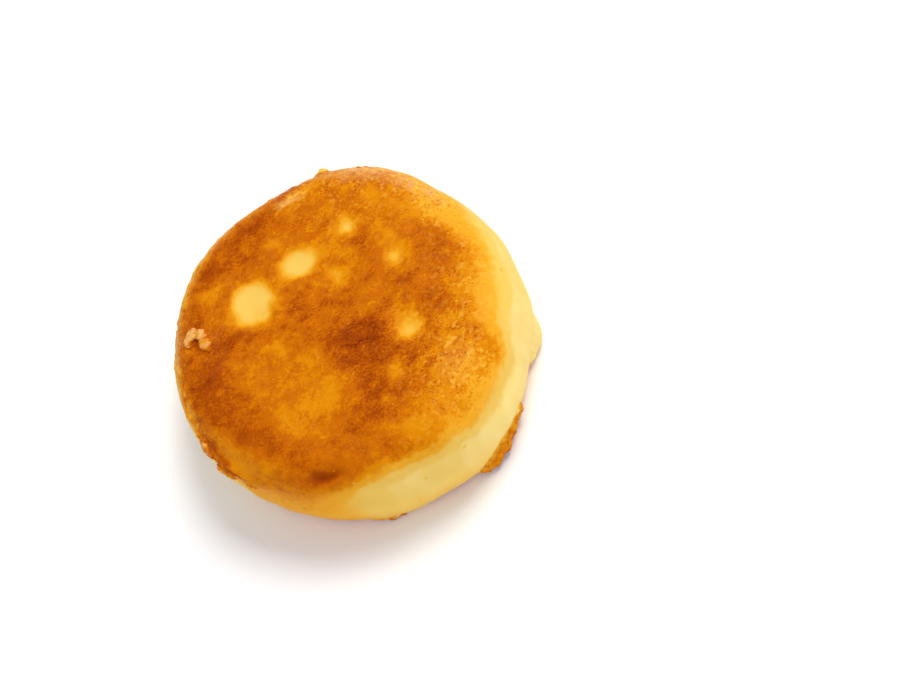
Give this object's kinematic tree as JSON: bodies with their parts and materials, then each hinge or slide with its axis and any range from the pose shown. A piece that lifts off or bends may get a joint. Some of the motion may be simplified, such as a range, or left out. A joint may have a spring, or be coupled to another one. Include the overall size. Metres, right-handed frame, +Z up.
{
  "type": "syrnik",
  "caption": "Thick round pancake of curd cheese, fried brown on both faces and pale round the side, that lies flat on its underside.",
  "frame": {"origin": "middle of the flat underside", "axes": "+Z up, out of the browned face that shows; -Y towards the side where the pale flank shows widest below that face"},
  "size_m": [0.0698, 0.0709, 0.0231],
  "materials": {
    "fried_curd": "stands for food: curd dough with a fried crust, mottled from golden to chestnut brown with a faint oily sheen on both faces, and smooth buttery yellow round the side"
  },
  "bodies": {
    "root": {"syrnik": "fried_curd"}
  },
  "joints": []
}
